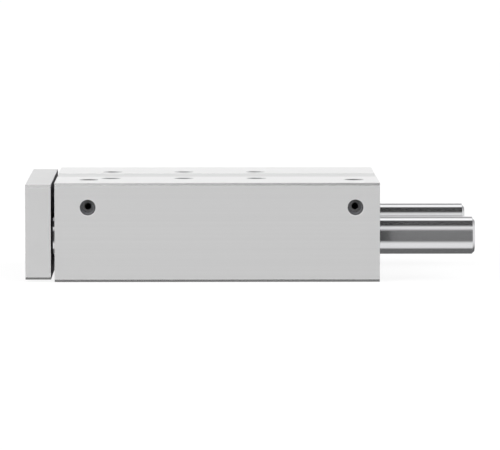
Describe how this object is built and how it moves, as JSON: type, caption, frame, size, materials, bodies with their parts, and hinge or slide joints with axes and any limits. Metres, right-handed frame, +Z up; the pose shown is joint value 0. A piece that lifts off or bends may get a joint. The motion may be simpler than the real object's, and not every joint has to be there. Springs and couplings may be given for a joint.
{
  "type": "guided pneumatic cylinder",
  "caption": "Flat guided air cylinder: a housing with a piston between guide rods pushes out a yoke plate that can't turn.",
  "frame": {"origin": "centre of the housing's underside", "axes": "+X along the rods from the yoke to the rear, +Y from the side with the open ports to the far side, +Z up from the underside"},
  "size_m": [0.168, 0.0852, 0.0371],
  "materials": {
    "anodised_housing": "satin anodised",
    "anodised_yoke": "satin anodised",
    "cap_aluminium": "turned",
    "piston_aluminium": "turned",
    "chromed_rod": "ground and polished",
    "piston_rod_steel": "polished",
    "screw_steel": "zinc plated",
    "plug_steel": "nickel plated",
    "spring_steel": "phosphated, oiled",
    "bush_bronze": "sintered",
    "seal_rubber": "matte",
    "rod_seal_polymer": "satin",
    "buffer_polymer": "satin",
    "magnet": "matte, plastic-bound ferrite",
    "guide_band_polymer": "matte"
  },
  "bodies": {
    "housing": {"housing": "anodised_housing", "top_port_plugs": "plug_steel", "front_cap": "cap_aluminium", "front_cap_o_ring": "seal_rubber", "front_retaining_ring": "spring_steel", "rod_bush": "bush_bronze", "rod_seal": "rod_seal_polymer", "front_buffer": "buffer_polymer", "rear_cap": "cap_aluminium", "rear_cap_o_ring": "seal_rubber", "rear_retaining_ring": "spring_steel", "rear_buffer": "buffer_polymer", "near_front_bush": "bush_bronze", "near_rear_bush": "bush_bronze", "far_front_bush": "bush_bronze", "far_rear_bush": "bush_bronze"},
    "slide": {"yoke_plate": "anodised_yoke", "yoke_screws": "screw_steel", "near_guide_rod": "chromed_rod", "far_guide_rod": "chromed_rod", "piston_rod": "piston_rod_steel", "piston": "piston_aluminium", "front_piston_seal": "seal_rubber", "rear_piston_seal": "seal_rubber", "magnet_ring": "magnet", "piston_guide_band": "guide_band_polymer", "piston_nut": "screw_steel"}
  },
  "joints": [
    {"name": "yoke_slide", "type": "slide", "parent": "housing", "child": "slide", "axis": [-1, 0, 0], "range_m": [0, 0.08]}
  ]
}
